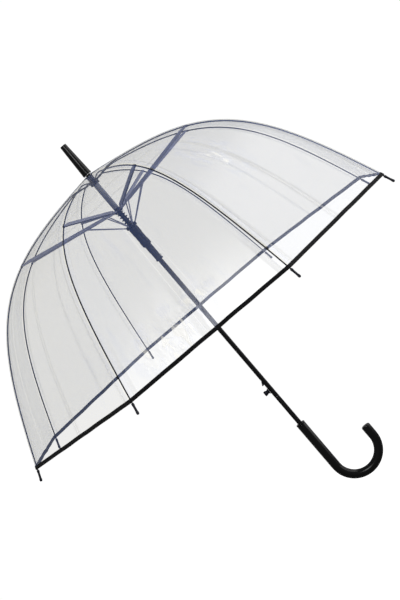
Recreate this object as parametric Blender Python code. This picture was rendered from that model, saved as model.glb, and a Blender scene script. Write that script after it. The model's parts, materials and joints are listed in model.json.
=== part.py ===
"""Clear dome stick umbrella, open, standing on its axis.

Metres. +Z runs up the shaft to the ferrule, and the origin is the middle of the straight grip.
The hook of the handle points along +X. Rib 1 lies 22.5 degrees from +X and the others follow
anticlockwise. Ribs, stretchers and links are modelled in the plane of their rib, with local
+X outward from the shaft, and each has its origin on the pivot that it turns about.
"""

import math

import bmesh
import bpy
from mathutils import Vector
from mathutils.geometry import tessellate_polygon

# Main sizes
RIB_COUNT = 8
FIRST_RIB_ANGLE = math.radians(22.5)
TIP_Z = 0.732  # flat end of the ferrule
APEX_Z = 0.661  # top of the clear film on the shaft's axis
FERRULE_BASE_Z = 0.6622
RIM_ARC = 0.588  # from the apex to the hem, along a rib
GAP = 0.0003  # between pieces that touch

# Shaft and what is fixed to it
SHAFT_RADIUS = 0.0045
SHAFT_BORE_RADIUS = 0.0037
SHAFT_LOW_Z = 0.006
SHAFT_HIGH_Z = 0.699
SOCKET_RADIUS = SHAFT_RADIUS + GAP
FERRULE_BASE_RADIUS = 0.009
FERRULE_TIP_RADIUS = 0.0062

# Film and hem
FILM_THICKNESS = 0.0004
FILM_HOLE_RADIUS = 0.0055
FILM_HOLE_DROP = 0.0017
HEM_WIDTH = 0.0072
HEM_THICKNESS = 0.0014
FILM_START_SLOPE = 6.0  # degrees below level, at the apex
FILM_TURN = 61.6  # degrees gained from the apex to the rim
FILM_BEND_ARC = 0.275  # where the film bends most
FILM_BEND_SPREAD = 0.152
ARC_STEP = 0.001

# Ribs
RIB_DEPTH = 0.003
RIB_SIDE = 0.0015  # a rib's outer face, from the plane of the rib
RIB_BELOW_FILM = 0.0026  # centre of a rib under the film's inner face
RIB_JOINS_FILM_ARC = 0.055
RIB_EYE = 0.0019
JOINT_RADIUS = 0.2085  # the stretcher's pin on the rib, from the shaft's axis
TIP_LENGTH = 0.021

# Crowns that hold the rib, stretcher and link ends on a wire ring
PIN_RADIUS = 0.0072
NOTCH_PIN_Z = 0.643
CROWN_RADIUS = 0.0092
CROWN_CORE = 0.0054
WIRE_RADIUS = 0.0005
EYE_HOLE = 0.00085
EYE_RADIUS = 0.0015
RUNNER_PIN_RADIUS = 0.0094
RUNNER_CROWN_RADIUS = 0.0113
RUNNER_CORE = 0.0076
SLIDER_TO_RUNNER = 0.0365  # between the two rings of pins

# Stretchers and links
CHANNEL_SIDE = 0.00255
CHANNEL_INSIDE = 0.00195
CHANNEL_LOW = -0.0016
CHANNEL_WEB_LOW = 0.0032
CHANNEL_HIGH = 0.0037
CHANNEL_END_GAP = 0.024  # from the slider's pin to the channel
LINK_SHARE = 0.33  # where a link meets its stretcher, from the slider
LINK_SIDE = 0.0007
LINK_DEPTH = 0.002
LINK_START_EYE = 0.0013  # on the runner's ring
LINK_END_EYE = 0.0011  # inside the channel

# Runner
RUNNER_TOP_Z = 0.5335
RUNNER_BODY_LOW_Z = 0.491
RUNNER_BODY_RADIUS = 0.009
SLEEVE_RADIUS = 0.00665
SLEEVE_LOW_Z = 0.4556
SLEEVE_SLOT_HEIGHT = 0.020

# Release button and catch, on the -X side
BUTTON_Z = 0.137
BUTTON_FACE_X = -0.0154
CATCH_PIN_Z = 0.120
CATCH_LOW_Z = 0.1514
CATCH_HIGH_Z = 0.161
CATCH_REACH = 0.0086

# Handle
HANDLE_TOP_Z = 0.0497
HANDLE_RADIUS = 0.0088
COLLAR_HEIGHT = 0.0035
BEND_Z = -0.0525
BEND_RADIUS = 0.045
HOOK_END_Z = -0.029

BLACK_PLASTIC = ((0.006, 0.006, 0.007), 0.28, 0.0)
BLACK_STEEL = ((0.009, 0.009, 0.011), 0.36, 0.4)
NAVY_PLASTIC = ((0.018, 0.019, 0.045), 0.45, 0.0)
BRIGHT_STEEL = ((0.55, 0.56, 0.58), 0.3, 1.0)
CLEAR_FILM = ((0.86, 0.87, 0.9), 0.12, 0.0)
SMOKED_SLEEVE = ((0.22, 0.23, 0.3), 0.4, 0.0)


# Helpers


def material_of(name, finish):
    colour, roughness, metallic = finish
    material = bpy.data.materials.new(name)
    material.use_nodes = True
    shader = material.node_tree.nodes["Principled BSDF"]
    shader.inputs["Base Color"].default_value = (*colour, 1.0)
    shader.inputs["Roughness"].default_value = roughness
    shader.inputs["Metallic"].default_value = metallic
    return material


def add_object(name, mesh, finish, location=(0, 0, 0), rotation=(0, 0, 0)):
    thing = bpy.data.objects.new(name, mesh)
    bpy.context.collection.objects.link(thing)
    thing.location = location
    thing.rotation_euler = rotation
    if not mesh.materials:
        mesh.materials.append(material_of(name, finish))
    return thing


def finished(bm, smooth_angle=40.0):
    """A mesh from a closed bmesh, facing out and smooth except at its sharp edges."""
    bmesh.ops.remove_doubles(bm, verts=bm.verts, dist=1e-7)
    bmesh.ops.recalc_face_normals(bm, faces=bm.faces)
    mesh = bpy.data.meshes.new("shape")
    bm.to_mesh(mesh)
    bm.free()
    mesh.shade_smooth()
    mesh.set_sharp_from_angle(angle=math.radians(smooth_angle))
    return mesh


def turned(profile, steps=24, closed=False):
    """Revolves (radius, height) points about Z. A closed profile makes a ring."""
    bm = bmesh.new()
    points = [bm.verts.new((radius, 0, height)) for radius, height in profile]
    edges = [bm.edges.new(pair) for pair in zip(points, points[1:])]
    if closed:
        edges.append(bm.edges.new((points[-1], points[0])))
    bmesh.ops.spin(bm, geom=points + edges, cent=(0, 0, 0), axis=(0, 0, 1),
                   angle=math.tau, steps=steps, use_duplicate=False)
    bmesh.ops.remove_doubles(bm, verts=bm.verts, dist=1e-6)
    return finished(bm)


def wire_ring(radius, height, steps=16, sides=5):
    """A ring of round wire about the shaft's axis."""
    turns = [math.tau * side / sides for side in range(sides)]
    profile = [(radius + WIRE_RADIUS * math.cos(a), height + WIRE_RADIUS * math.sin(a))
               for a in turns]
    return turned(profile, steps, closed=True)


def plate(outline, holes, low, high):
    """A flat piece: an outline of (x, z) points with holes, from y = low to y = high."""
    loops = [outline] + holes
    flat = [[Vector((x, z, 0)) for x, z in loop] for loop in loops]
    bm = bmesh.new()
    near, far = [], []
    for loop in loops:
        near.extend(bm.verts.new((x, low, z)) for x, z in loop)
        far.extend(bm.verts.new((x, high, z)) for x, z in loop)
    for a, b, c in tessellate_polygon(flat):
        bm.faces.new((near[a], near[b], near[c]))
        bm.faces.new((far[c], far[b], far[a]))
    start = 0
    for loop in loops:
        count = len(loop)
        for i in range(count):
            a, b = start + i, start + (i + 1) % count
            bm.faces.new((near[a], near[b], far[b], far[a]))
        start += count
    return finished(bm, 30.0)


def box(low, high):
    bm = bmesh.new()
    bmesh.ops.create_cube(bm, size=1.0)
    for vert in bm.verts:
        for axis in range(3):
            side = high if vert.co[axis] > 0 else low
            vert.co[axis] = side[axis]
    return finished(bm)


def rod_along_y(x, z, radius, low, high, sides=12):
    return plate(circle(x, z, radius, sides), [], low, high)


def circle(x, z, radius, sides=12):
    turns = [math.tau * side / sides for side in range(sides)]
    return [(x + radius * math.cos(a), z + radius * math.sin(a)) for a in turns]


def loft(rings):
    """Bridges rings of the same number of points, and closes both ends."""
    bm = bmesh.new()
    loops = [[bm.verts.new(point) for point in ring] for ring in rings]
    for ring, after in zip(loops, loops[1:]):
        for i in range(len(ring)):
            j = (i + 1) % len(ring)
            bm.faces.new((ring[i], ring[j], after[j], after[i]))
    bm.faces.new(loops[0])
    bm.faces.new(loops[-1])
    return finished(bm)


def combine(mesh, others, operation):
    """The mesh after one exact Boolean with each of the others."""
    body = bpy.data.objects.new("body", mesh)
    bpy.context.collection.objects.link(body)
    tools = []
    for other in others:
        tool = bpy.data.objects.new("tool", other)
        bpy.context.collection.objects.link(tool)
        tools.append(tool)
        change = body.modifiers.new("cut", "BOOLEAN")
        change.operation = operation
        change.solver = "EXACT"
        change.object = tool
    graph = bpy.context.evaluated_depsgraph_get()
    result = bpy.data.meshes.new_from_object(body.evaluated_get(graph))
    for thing in [body] + tools:
        bpy.data.objects.remove(thing)
    result.materials.clear()
    result.shade_smooth()
    result.set_sharp_from_angle(angle=math.radians(40.0))
    return result


def moved(mesh, location=(0, 0, 0), turn=0.0):
    """A copy of a mesh turned about Z and then moved."""
    copy = mesh.copy()
    cosine, sine = math.cos(turn), math.sin(turn)
    for vert in copy.vertices:
        x, y, z = vert.co
        vert.co = Vector((cosine * x - sine * y, sine * x + cosine * y, z)) + Vector(location)
    return copy


# The curve of the dome


def trace_film():
    """(radius, height, slope) each ARC_STEP along the film over a rib."""
    radius, height = FILM_HOLE_RADIUS, APEX_Z - FILM_HOLE_DROP
    points = []
    for step in range(round(RIM_ARC / ARC_STEP) + 3):
        bend = math.tanh((step * ARC_STEP - FILM_BEND_ARC) / FILM_BEND_SPREAD)
        slope = math.radians(FILM_START_SLOPE + FILM_TURN * 0.5 * (1 + bend))
        points.append((radius, height, slope))
        radius += ARC_STEP * math.cos(slope)
        height -= ARC_STEP * math.sin(slope)
    return points


FILM = trace_film()


def film_point(arc, inward=0.0):
    """(radius, height) at an arc length from the apex, moved inward from the film."""
    place = arc / ARC_STEP
    index = min(int(place), len(FILM) - 2)
    share = place - index
    radius, height, slope = (a + (b - a) * share for a, b in zip(FILM[index], FILM[index + 1]))
    return radius - inward * math.sin(slope), height - inward * math.cos(slope)


def film_slope(arc):
    return FILM[round(arc / ARC_STEP)][2]


def joint_arc():
    """The arc length at which the rib reaches the stretcher's pin."""
    arc = RIB_JOINS_FILM_ARC
    while film_point(arc, RIB_BELOW_FILM)[0] < JOINT_RADIUS:
        arc += ARC_STEP / 20
    return arc


JOINT_ARC = joint_arc()
NOTCH_PIN = Vector((PIN_RADIUS, NOTCH_PIN_Z))
JOINT_PIN = Vector(film_point(JOINT_ARC, RIB_BELOW_FILM))
SLIDER_PIN_Z = 2 * JOINT_PIN.y - NOTCH_PIN_Z
SLIDER_PIN = Vector((PIN_RADIUS, SLIDER_PIN_Z))
RUNNER_PIN = Vector((RUNNER_PIN_RADIUS, SLIDER_PIN_Z - SLIDER_TO_RUNNER))


def rib_angles():
    return [FIRST_RIB_ANGLE + math.tau * i / RIB_COUNT for i in range(RIB_COUNT)]


def place_by_ribs(name, mesh, finish, pivot):
    """One object for each rib, with its origin at the pivot."""
    for number, angle in enumerate(rib_angles(), start=1):
        location = (pivot.x * math.cos(angle), pivot.x * math.sin(angle), pivot.y)
        add_object(f"{name}_{number}", mesh, finish, location, (0, 0, angle))


# Strips with eyed ends


def eye_arc(centre, towards, half, radius, points=7):
    """The round end of a strip, from its left edge round the back to its right edge."""
    heading = math.atan2(towards.y, towards.x)
    start = math.asin(min(half / radius, 0.98))
    sweep = math.tau - 2 * start
    turns = [heading + start + sweep * i / (points - 1) for i in range(points)]
    return [(centre.x + radius * math.cos(a), centre.y + radius * math.sin(a)) for a in turns]


def strip(path, depth, start_eye, end_eye):
    """The outline of a strip along a path, with a round eye or a square cut at each end."""
    half = depth / 2
    left, right = [], []
    for i, point in enumerate(path):
        before, after = path[max(i - 1, 0)], path[min(i + 1, len(path) - 1)]
        along = (after - before).normalized()
        side = Vector((-along.y, along.x)) * half
        near_start = start_eye and (point - path[0]).length < start_eye * 1.3
        near_end = end_eye and (point - path[-1]).length < end_eye * 1.3
        if not near_start and not near_end:
            left.append(tuple(point + side))
            right.append(tuple(point - side))
    start, end = [], []
    if start_eye:
        start = eye_arc(path[0], path[1] - path[0], half, start_eye)
    if end_eye:
        end = eye_arc(path[-1], path[-2] - path[-1], half, end_eye)
    return start + right + end + left[::-1]


def rib_root(count=5):
    """The rib from its pin in the notch up to the film, as a smooth curve."""
    end = Vector(film_point(RIB_JOINS_FILM_ARC, RIB_BELOW_FILM))
    slope = film_slope(RIB_JOINS_FILM_ARC)
    reach = (end - NOTCH_PIN).length / 3
    rise = Vector((math.cos(math.radians(16)), math.sin(math.radians(16))))
    handles = (NOTCH_PIN, NOTCH_PIN + rise * reach,
               end - Vector((math.cos(slope), -math.sin(slope))) * reach, end)
    points = []
    for i in range(count):
        t = i / count
        weights = ((1 - t) ** 3, 3 * t * (1 - t) ** 2, 3 * t * t * (1 - t), t ** 3)
        points.append(sum((w * h for w, h in zip(weights, handles)), Vector((0, 0))))
    return points


def rib_path(start_arc, end_arc, count):
    arcs = [start_arc + (end_arc - start_arc) * i / count for i in range(count + 1)]
    return [Vector(film_point(arc, RIB_BELOW_FILM)) for arc in arcs]


def upper_ribs():
    path = rib_root() + rib_path(RIB_JOINS_FILM_ARC, JOINT_ARC, 6)
    path = [point - NOTCH_PIN for point in path]
    holes = [circle(0, 0, EYE_HOLE, 8), circle(*path[-1], 0.00115, 8)]
    outline = strip(path, RIB_DEPTH * 0.9, EYE_RADIUS, RIB_EYE)
    place_by_ribs("upper_rib", plate(outline, holes, -RIB_SIDE, -GAP / 2), BLACK_STEEL, NOTCH_PIN)


def lower_ribs():
    path = [point - JOINT_PIN for point in rib_path(JOINT_ARC, RIM_ARC, 14)]
    holes = [circle(0, 0, 0.00115, 8)]
    outline = strip(path, RIB_DEPTH, RIB_EYE, None)
    place_by_ribs("lower_rib", plate(outline, holes, GAP / 2, RIB_SIDE), BLACK_STEEL, JOINT_PIN)


def rib_tips():
    profile = [(0, 0), (0.0021, 0), (0.0024, 0.0006), (0.0024, 0.0040), (0.0020, 0.0052),
               (0.0021, 0.0150), (0.0025, 0.0164), (0.0025, 0.0188), (0.0017, 0.0206),
               (0, TIP_LENGTH)]
    mesh = turned(profile, 10)
    slope = film_slope(RIM_ARC)
    end = Vector(film_point(RIM_ARC, RIB_BELOW_FILM))
    root = end + Vector((math.cos(slope), -math.sin(slope))) * GAP * 2
    for number, angle in enumerate(rib_angles(), start=1):
        location = (root.x * math.cos(angle), root.x * math.sin(angle), root.y)
        add_object(f"rib_tip_{number}", mesh, BLACK_PLASTIC, location,
                   (0, math.pi / 2 + slope, angle))


def stretchers():
    """Channels, open below, pinned to a rib at one end and to the slider at the other."""
    span = SLIDER_PIN - JOINT_PIN
    length = span.length
    along = span / length
    up = Vector((along.y, -along.x))

    def at(distance, height):
        point = along * distance + up * height
        return point.x, point.y

    heading = math.atan2(along.y, along.x)
    nose = [heading + math.pi / 2 + math.pi * i / 4 for i in range(5)]
    nose = [(0.00175 * math.cos(a), 0.00175 * math.sin(a)) for a in nose]
    end = length - CHANNEL_END_GAP
    side = nose + [at(0.004, 0.00175), at(0.014, CHANNEL_HIGH), at(end, CHANNEL_HIGH),
                   at(end, CHANNEL_LOW), at(0.004, CHANNEL_LOW)]
    web = [at(0.012, CHANNEL_WEB_LOW), at(end, CHANNEL_WEB_LOW), at(end, CHANNEL_HIGH),
           at(0.012, CHANNEL_HIGH - 0.0002)]
    eye = [heading - math.pi / 2 + math.pi * i / 6 for i in range(7)]
    centre = along * length
    eye = [(centre.x + EYE_RADIUS * math.cos(a), centre.y + EYE_RADIUS * math.sin(a)) for a in eye]
    tongue = eye + [at(length - 0.012, -EYE_RADIUS), at(end, 0.0002),
                    at(end - 0.012, CHANNEL_WEB_LOW - 0.0005), at(end - 0.012, CHANNEL_HIGH - 0.0001),
                    at(end, CHANNEL_HIGH - 0.0001), at(length - 0.014, EYE_RADIUS)]
    body = plate(web, [], -CHANNEL_INSIDE - 0.0003, CHANNEL_INSIDE + 0.0003)
    parts = [plate(side, [], -CHANNEL_SIDE, -CHANNEL_INSIDE),
             plate(side, [], CHANNEL_INSIDE, CHANNEL_SIDE),
             plate(tongue, [circle(centre.x, centre.y, EYE_HOLE, 8)], -0.0012, 0.0012),
             rod_along_y(0, 0, 0.0008, -CHANNEL_SIDE - 0.0004, CHANNEL_SIDE + 0.0004, 8)]
    place_by_ribs("stretcher", combine(body, parts, "UNION"), NAVY_PLASTIC, JOINT_PIN)


def links():
    """Flat bars from the runner up into the stretchers' channels."""
    meet = SLIDER_PIN + (JOINT_PIN - SLIDER_PIN) * LINK_SHARE
    path = [Vector((0, 0)), (meet - RUNNER_PIN) * 0.5, meet - RUNNER_PIN]
    holes = [circle(0, 0, EYE_HOLE, 8), circle(*path[-1], 0.0006, 6)]
    outline = strip(path, LINK_DEPTH, LINK_START_EYE, LINK_END_EYE)
    place_by_ribs("link", plate(outline, holes, -LINK_SIDE, LINK_SIDE), NAVY_PLASTIC, RUNNER_PIN)


# Film, hem and ferrule


def dome_band(arcs, outward):
    """A closed shell over the ribs, flat between one rib and the next."""
    bm = bmesh.new()
    inner, outer = [], []
    for arc in arcs:
        for rings, inward in ((inner, 0.0), (outer, -outward)):
            radius, height = film_point(arc, inward)
            rings.append([bm.verts.new((radius * math.cos(a), radius * math.sin(a), height))
                          for a in rib_angles()])
    for rings in (inner, outer):
        for ring, after in zip(rings, rings[1:]):
            for i in range(RIB_COUNT):
                j = (i + 1) % RIB_COUNT
                bm.faces.new((ring[i], ring[j], after[j], after[i]))
    for end in (0, -1):
        for i in range(RIB_COUNT):
            j = (i + 1) % RIB_COUNT
            bm.faces.new((inner[end][i], inner[end][j], outer[end][j], outer[end][i]))
    return finished(bm, 20.0)


def film_and_hem():
    edge = RIM_ARC - HEM_WIDTH - GAP
    count = 22
    arcs = [edge * i / count for i in range(count + 1)]
    add_object("canopy_film", dome_band(arcs, FILM_THICKNESS), CLEAR_FILM)
    hem = dome_band([RIM_ARC - HEM_WIDTH, RIM_ARC], HEM_THICKNESS)
    add_object("hem_binding", hem, BLACK_PLASTIC)


def ferrule_and_washer():
    profile = [(SOCKET_RADIUS, FERRULE_BASE_Z), (FERRULE_BASE_RADIUS - 0.0004, FERRULE_BASE_Z),
               (FERRULE_BASE_RADIUS, FERRULE_BASE_Z + 0.0005),
               (FERRULE_TIP_RADIUS, TIP_Z - 0.0010), (FERRULE_TIP_RADIUS - 0.0010, TIP_Z),
               (0, TIP_Z), (0, SHAFT_HIGH_Z + GAP), (SOCKET_RADIUS, SHAFT_HIGH_Z + GAP)]
    add_object("ferrule", turned(profile, 24, closed=True), BLACK_PLASTIC)
    low, high = FERRULE_BASE_Z - 0.0008, FERRULE_BASE_Z - GAP
    washer = [(SOCKET_RADIUS, low), (0.0086, low), (0.0086, high), (SOCKET_RADIUS, high)]
    add_object("film_washer", turned(washer, 24, closed=True), BRIGHT_STEEL)


# Crowns


def slots(inner, outer, low, high, sides):
    """Cutters for the slots of a crown, one for each rib."""
    shape = box((inner, sides[0], low), (outer, sides[1], high))
    return [moved(shape, turn=angle) for angle in rib_angles()]


def top_notch():
    low, slot_high, crown_high = NOTCH_PIN_Z - 0.0045, NOTCH_PIN_Z + 0.0034, NOTCH_PIN_Z + 0.005
    profile = [(SOCKET_RADIUS, low), (CROWN_RADIUS, low), (CROWN_RADIUS, crown_high),
               (0.0064, crown_high + 0.001), (0.0064, APEX_Z - 0.0042), (0.0080, APEX_Z - 0.0040),
               (0.0080, APEX_Z - 0.0030), (SOCKET_RADIUS, APEX_Z - 0.0030)]
    cutters = slots(CROWN_CORE, 0.02, low - 0.001, slot_high, (-0.0021, 0.0004))
    crown = combine(turned(profile, 24, closed=True), cutters, "DIFFERENCE")
    crown = combine(crown, [wire_ring(PIN_RADIUS, NOTCH_PIN_Z)], "UNION")
    add_object("top_notch", crown, NAVY_PLASTIC)


def stop_sleeve():
    low, high = SLIDER_PIN_Z + 0.0056 + GAP, NOTCH_PIN_Z - 0.0045 - GAP
    profile = [(SOCKET_RADIUS, low), (0.0057, low), (0.0057, high), (SOCKET_RADIUS, high)]
    add_object("stop_sleeve", turned(profile, 24, closed=True), SMOKED_SLEEVE)


def slider_crown():
    pin = SLIDER_PIN_Z
    low, floor, lugs, neck = pin - 0.0032, pin - 0.0019, pin + 0.0030, pin + 0.0056
    profile = [(SOCKET_RADIUS, low), (0.0082, low), (CROWN_RADIUS, low + 0.0008),
               (CROWN_RADIUS, lugs), (0.0058, lugs + 0.0004), (0.0058, neck),
               (SOCKET_RADIUS, neck)]
    cutters = slots(CROWN_CORE, 0.02, floor, neck + 0.001, (-0.0015, 0.0015))
    crown = combine(turned(profile, 24, closed=True), cutters, "DIFFERENCE")
    crown = combine(crown, [wire_ring(PIN_RADIUS, pin)], "UNION")
    add_object("slider_crown", crown, NAVY_PLASTIC)


def opening_spring():
    """A compression spring between the slider and the runner."""
    coil_radius, wire, turns, steps, sides = 0.0067, 0.0008, 5.5, 12, 5
    low = RUNNER_PIN.y + 0.0030 + GAP + wire
    high = SLIDER_PIN_Z - 0.0032 - GAP - wire
    rings = []
    count = round(turns * steps)
    for i in range(count + 1):
        share = i / count
        angle = math.tau * turns * share
        out = Vector((math.cos(angle), math.sin(angle), 0))
        centre = out * coil_radius + Vector((0, 0, low + (high - low) * share))
        ring = []
        for side in range(sides):
            a = math.tau * side / sides
            ring.append(centre + out * wire * math.cos(a) + Vector((0, 0, wire * math.sin(a))))
        rings.append(ring)
    add_object("opening_spring", loft(rings), BLACK_STEEL)


def runner():
    pin = RUNNER_PIN.y
    high = pin + 0.0030
    profile = [(SOCKET_RADIUS, RUNNER_TOP_Z + GAP), (0.0100, RUNNER_TOP_Z + GAP),
               (RUNNER_CROWN_RADIUS, RUNNER_TOP_Z + 0.0013), (RUNNER_CROWN_RADIUS, high - 0.0010),
               (0.0105, high), (SOCKET_RADIUS, high)]
    cutters = slots(RUNNER_CORE, 0.02, pin - 0.0018, high + 0.001, (-0.0012, 0.0012))
    crown = combine(turned(profile, 24, closed=True), cutters, "DIFFERENCE")
    crown = combine(crown, [wire_ring(RUNNER_PIN_RADIUS, pin)], "UNION")
    add_object("runner_crown", crown, NAVY_PLASTIC)

    inside = SLEEVE_RADIUS + GAP
    low = RUNNER_BODY_LOW_Z
    shell = [(inside, low), (RUNNER_BODY_RADIUS - 0.0006, low), (RUNNER_BODY_RADIUS, low + 0.0006),
             (RUNNER_BODY_RADIUS, RUNNER_TOP_Z), (inside, RUNNER_TOP_Z)]
    window = box((-0.02, -0.003, low + 0.012), (0.02, 0.003, low + 0.027))
    across = moved(window, turn=math.radians(90))
    body = combine(turned(shell, 24, closed=True), [window, across], "DIFFERENCE")
    add_object("runner_body", body, NAVY_PLASTIC)

    low = SLEEVE_LOW_Z
    tube = [(SOCKET_RADIUS, low), (0.0070, low), (0.0076, low + 0.0006), (0.0076, low + 0.0030),
            (SLEEVE_RADIUS, low + 0.0040), (SLEEVE_RADIUS, RUNNER_TOP_Z), (SOCKET_RADIUS, RUNNER_TOP_Z)]
    slot = box((-0.02, -0.0024, low - 0.001), (0, 0.0024, low + SLEEVE_SLOT_HEIGHT))
    sleeve = combine(turned(tube, 24, closed=True), [slot], "DIFFERENCE")
    add_object("runner_sleeve", sleeve, NAVY_PLASTIC)

    inner = SLEEVE_RADIUS + GAP
    stud = turned([(0, 0), (0.0013, 0), (0.0013, 0.0011), (0.0008, 0.0016), (0, 0.0016)], 12)
    add_object("runner_rivet", stud, BRIGHT_STEEL, (inner, 0, low + 0.0072), (0, math.pi / 2, 0))


# Shaft, latch and handle


def shaft():
    profile = [(SHAFT_BORE_RADIUS, SHAFT_LOW_Z), (SHAFT_RADIUS, SHAFT_LOW_Z),
               (SHAFT_RADIUS, SHAFT_HIGH_Z), (SHAFT_BORE_RADIUS, SHAFT_HIGH_Z)]
    window = box((-0.006, -0.0016, CATCH_LOW_Z - 0.0012), (0, 0.0016, CATCH_HIGH_Z + 0.0016))
    hole = plate(circle(0, 0, 0.0018), [], -0.006, 0)
    hole = moved(hole, (0, 0, BUTTON_Z), turn=-math.pi / 2)
    pin_hole = rod_along_y(0, CATCH_PIN_Z, 0.0009, -0.006, 0.006)
    tube = combine(turned(profile, 24, closed=True), [window, hole, pin_hole], "DIFFERENCE")
    add_object("shaft", tube, BLACK_STEEL)


def latch():
    """The lever inside the shaft, with its wedge, and the pin that it turns on."""
    low, high, reach = CATCH_LOW_Z, CATCH_HIGH_Z, -CATCH_REACH
    outline = [(-0.0020, high + 0.0006), (-0.0040, high + 0.0004),
               (-0.0046, high - 0.0012), (reach, low + 0.0009), (reach, low),
               (-0.0030, low), (-0.0030, BUTTON_Z - 0.003),
               (-0.0015, CATCH_PIN_Z), (-0.0011, CATCH_PIN_Z - 0.0011),
               (0, CATCH_PIN_Z - 0.0015), (0.0011, CATCH_PIN_Z - 0.0011),
               (0.0015, CATCH_PIN_Z), (0.0011, CATCH_PIN_Z + 0.0015),
               (-0.0020, BUTTON_Z - 0.003)]
    outline = [(x, z - CATCH_PIN_Z) for x, z in outline]
    mesh = plate(outline, [circle(0, 0, 0.0009, 8)], -0.0012, 0.0012)
    add_object("catch", mesh, BLACK_STEEL, (0, 0, CATCH_PIN_Z))
    pin = rod_along_y(0, 0, 0.0006, -0.0044, 0.0044, 10)
    add_object("catch_pin", pin, BRIGHT_STEEL, (0, 0, CATCH_PIN_Z))


def release_button():
    """A cap that slides on a post, with a stem through the shaft's wall to the catch."""
    face = -BUTTON_FACE_X
    sideways = (0, -math.pi / 2, 0)
    post = [(0.0017, 0.0049), (0.0062, 0.0049), (0.0060, 0.0055), (0.0045, 0.0066),
            (0.0039, 0.0078), (0.0039, 0.0112), (0.0017, 0.0112)]
    add_object("button_post", turned(post, 16, closed=True), BLACK_PLASTIC, (0, 0, BUTTON_Z), sideways)
    cap = [(0, 0.00335), (0.0013, 0.00335), (0.0013, face - 0.0010), (0.0042, face - 0.0010),
           (0.0042, 0.0103), (0.0048, 0.0103), (0.0048, face - 0.0006), (0.0043, face), (0, face)]
    add_object("release_button", turned(cap, 16), BLACK_PLASTIC, (0, 0, BUTTON_Z), sideways)


def handle():
    sides = 16

    def ring(centre, heading, radius):
        """A ring about a point of the hook, square to a heading in the XZ plane."""
        side = Vector((math.cos(heading), 0, math.sin(heading)))
        across = Vector((0, 1, 0))
        turns = [math.tau * i / sides for i in range(sides)]
        return [centre + (side * math.cos(a) + across * math.sin(a)) * radius for a in turns]

    top = HANDLE_TOP_Z
    rings = [ring(Vector((0, 0, SHAFT_LOW_Z - GAP)), 0, SOCKET_RADIUS),
             ring(Vector((0, 0, top)), 0, SOCKET_RADIUS),
             ring(Vector((0, 0, top)), 0, HANDLE_RADIUS - 0.0006),
             ring(Vector((0, 0, top - 0.0006)), 0, HANDLE_RADIUS)]
    bends = 14
    for i in range(bends + 1):
        heading = math.pi * i / bends
        centre = Vector((BEND_RADIUS * (1 - math.cos(heading)), 0,
                         BEND_Z - BEND_RADIUS * math.sin(heading)))
        rings.append(ring(centre, heading, HANDLE_RADIUS))
    hook_x = 2 * BEND_RADIUS
    rings.append(ring(Vector((hook_x, 0, HOOK_END_Z - 0.0022)), math.pi, HANDLE_RADIUS))
    rings.append(ring(Vector((hook_x, 0, HOOK_END_Z - 0.0006)), math.pi, HANDLE_RADIUS - 0.0010))
    rings.append(ring(Vector((hook_x, 0, HOOK_END_Z)), math.pi, HANDLE_RADIUS - 0.0024))
    add_object("handle", loft(rings), BLACK_PLASTIC)

    low, high = HANDLE_TOP_Z + GAP, HANDLE_TOP_Z + COLLAR_HEIGHT
    collar = [(SOCKET_RADIUS, low), (0.0091, low), (0.0091, high - 0.0010), (0.0080, high),
              (SOCKET_RADIUS, high)]
    add_object("handle_collar", turned(collar, 24, closed=True), BLACK_PLASTIC)


def main():
    for thing in list(bpy.data.objects):
        bpy.data.objects.remove(thing)
    shaft()
    latch()
    release_button()
    handle()
    ferrule_and_washer()
    film_and_hem()
    top_notch()
    stop_sleeve()
    slider_crown()
    opening_spring()
    runner()
    upper_ribs()
    lower_ribs()
    rib_tips()
    stretchers()
    links()


main()
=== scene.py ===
import json
import math

import bmesh
import bpy
import numpy as np
from mathutils import Euler, Matrix, Vector, noise


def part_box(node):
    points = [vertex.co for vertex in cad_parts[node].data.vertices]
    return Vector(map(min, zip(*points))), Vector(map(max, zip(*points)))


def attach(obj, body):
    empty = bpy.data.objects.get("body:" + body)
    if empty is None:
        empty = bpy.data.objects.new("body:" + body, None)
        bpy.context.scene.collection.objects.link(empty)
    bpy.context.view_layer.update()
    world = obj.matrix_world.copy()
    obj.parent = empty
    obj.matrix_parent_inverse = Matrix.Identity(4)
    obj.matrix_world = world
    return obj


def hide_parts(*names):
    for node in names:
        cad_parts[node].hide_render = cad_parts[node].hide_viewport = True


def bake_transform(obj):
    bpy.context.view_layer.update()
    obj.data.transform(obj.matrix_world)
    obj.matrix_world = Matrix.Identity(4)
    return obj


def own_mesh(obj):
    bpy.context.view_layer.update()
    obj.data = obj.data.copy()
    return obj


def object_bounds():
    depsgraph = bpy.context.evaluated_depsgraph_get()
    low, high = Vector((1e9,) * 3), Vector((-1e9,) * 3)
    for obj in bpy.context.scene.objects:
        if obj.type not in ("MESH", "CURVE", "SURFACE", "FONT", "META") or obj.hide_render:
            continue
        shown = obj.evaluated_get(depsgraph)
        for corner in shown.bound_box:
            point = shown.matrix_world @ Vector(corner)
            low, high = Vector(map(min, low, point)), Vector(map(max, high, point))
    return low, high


# Clear dome stick umbrella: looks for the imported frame. Metres, +Z up the shaft to the ferrule.
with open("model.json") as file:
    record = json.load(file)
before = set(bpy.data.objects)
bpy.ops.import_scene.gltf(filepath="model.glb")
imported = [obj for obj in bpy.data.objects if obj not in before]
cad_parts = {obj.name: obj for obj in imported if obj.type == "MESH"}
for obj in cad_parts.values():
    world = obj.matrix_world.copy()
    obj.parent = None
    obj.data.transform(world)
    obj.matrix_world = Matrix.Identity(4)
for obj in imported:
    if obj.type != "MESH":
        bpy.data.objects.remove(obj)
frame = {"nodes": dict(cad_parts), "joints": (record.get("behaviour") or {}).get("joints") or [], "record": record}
cadLow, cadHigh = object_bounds()
nodes = frame["nodes"]
ribCount = 8
halfPanel = math.pi / ribCount  # from a rib to the middle of a panel
ribAngles = [halfPanel + math.tau * i / ribCount for i in range(ribCount)]


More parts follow.
